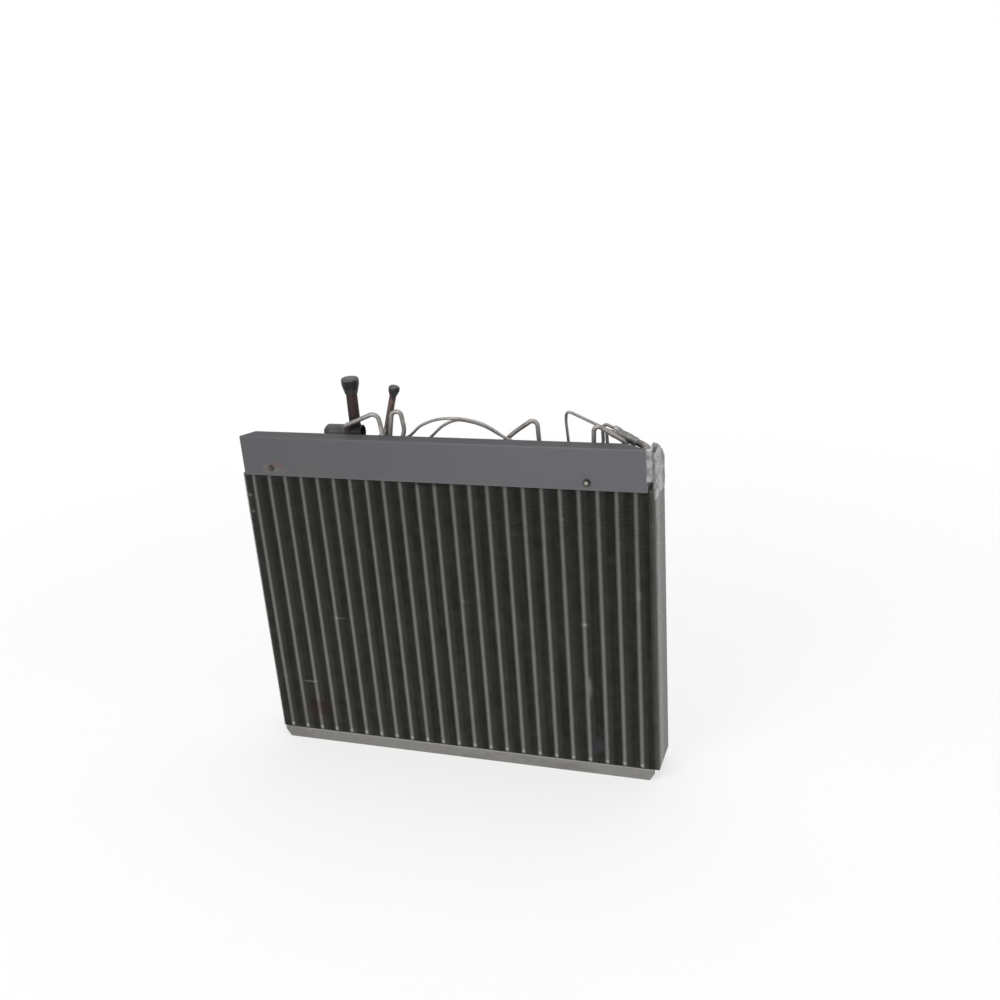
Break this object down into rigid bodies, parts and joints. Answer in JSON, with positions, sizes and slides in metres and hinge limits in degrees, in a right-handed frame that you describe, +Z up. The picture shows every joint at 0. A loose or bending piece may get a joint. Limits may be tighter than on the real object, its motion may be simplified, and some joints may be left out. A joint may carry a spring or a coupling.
{
  "type": "evaporator coil",
  "caption": "Finned evaporator coil on upright copper tubes, with folded end plates, a header shield, suction header, distributor, feed tubes and capped line stubs.",
  "frame": {"origin": "under the middle of the whole coil, on the surface that its lower end plate stands on", "axes": "+X along the face towards the foil corner, +Y back through the tube rows, +Z up along the tubes"},
  "size_m": [0.601, 0.0732, 0.57],
  "materials": {
    "fins": "thin bare aluminium fins, dull and dusty",
    "galvanised": "zinc-coated sheet with faint spangle",
    "grey_shield": "matte cool grey, a rust stain at the left screw",
    "screw_zinc": "zinc-plated, the left one rusty",
    "copper": "drawn copper, oxidised near the brazed joints",
    "dull_copper": "thin copper tube gone grey and dull",
    "dark_copper": "dark red-brown heat-stained copper",
    "distributor_brass": "turned brass gone dull",
    "cap_rubber": "dark rubber shipping caps",
    "foil": "aluminium foil, smoothed on the side and crumpled at the corner"
  },
  "bodies": {
    "root": {"fin_pack": "fins", "bottom_end_plate": "galvanised", "top_end_plate": "galvanised", "header_shield": "grey_shield", "shield_screws": "screw_zinc", "circuit_1_hairpins": "copper", "circuit_2_hairpins": "copper", "circuit_3_hairpins": "copper", "circuit_4_hairpins": "copper", "circuit_5_hairpins": "copper", "circuit_1_return_bends": "copper", "circuit_2_return_bends": "copper", "circuit_3_return_bends": "copper", "circuit_4_return_bends": "copper", "circuit_5_return_bends": "copper", "suction_bushings": "copper", "inlet_bushings": "copper", "suction_branch_1": "dull_copper", "suction_branch_2": "dull_copper", "suction_branch_3": "dull_copper", "suction_branch_4": "dull_copper", "suction_branch_5": "dull_copper", "distributor_tube_1": "dull_copper", "distributor_tube_2": "dull_copper", "distributor_tube_3": "dull_copper", "distributor_tube_4": "dull_copper", "distributor_tube_5": "dull_copper", "suction_header": "dark_copper", "header_end_cup": "dark_copper", "suction_stub": "dark_copper", "suction_stub_cap": "cap_rubber", "liquid_line": "dark_copper", "liquid_stub_cap": "cap_rubber", "distributor": "distributor_brass", "side_foil_tape": "foil", "corner_foil": "foil"}
  },
  "joints": []
}
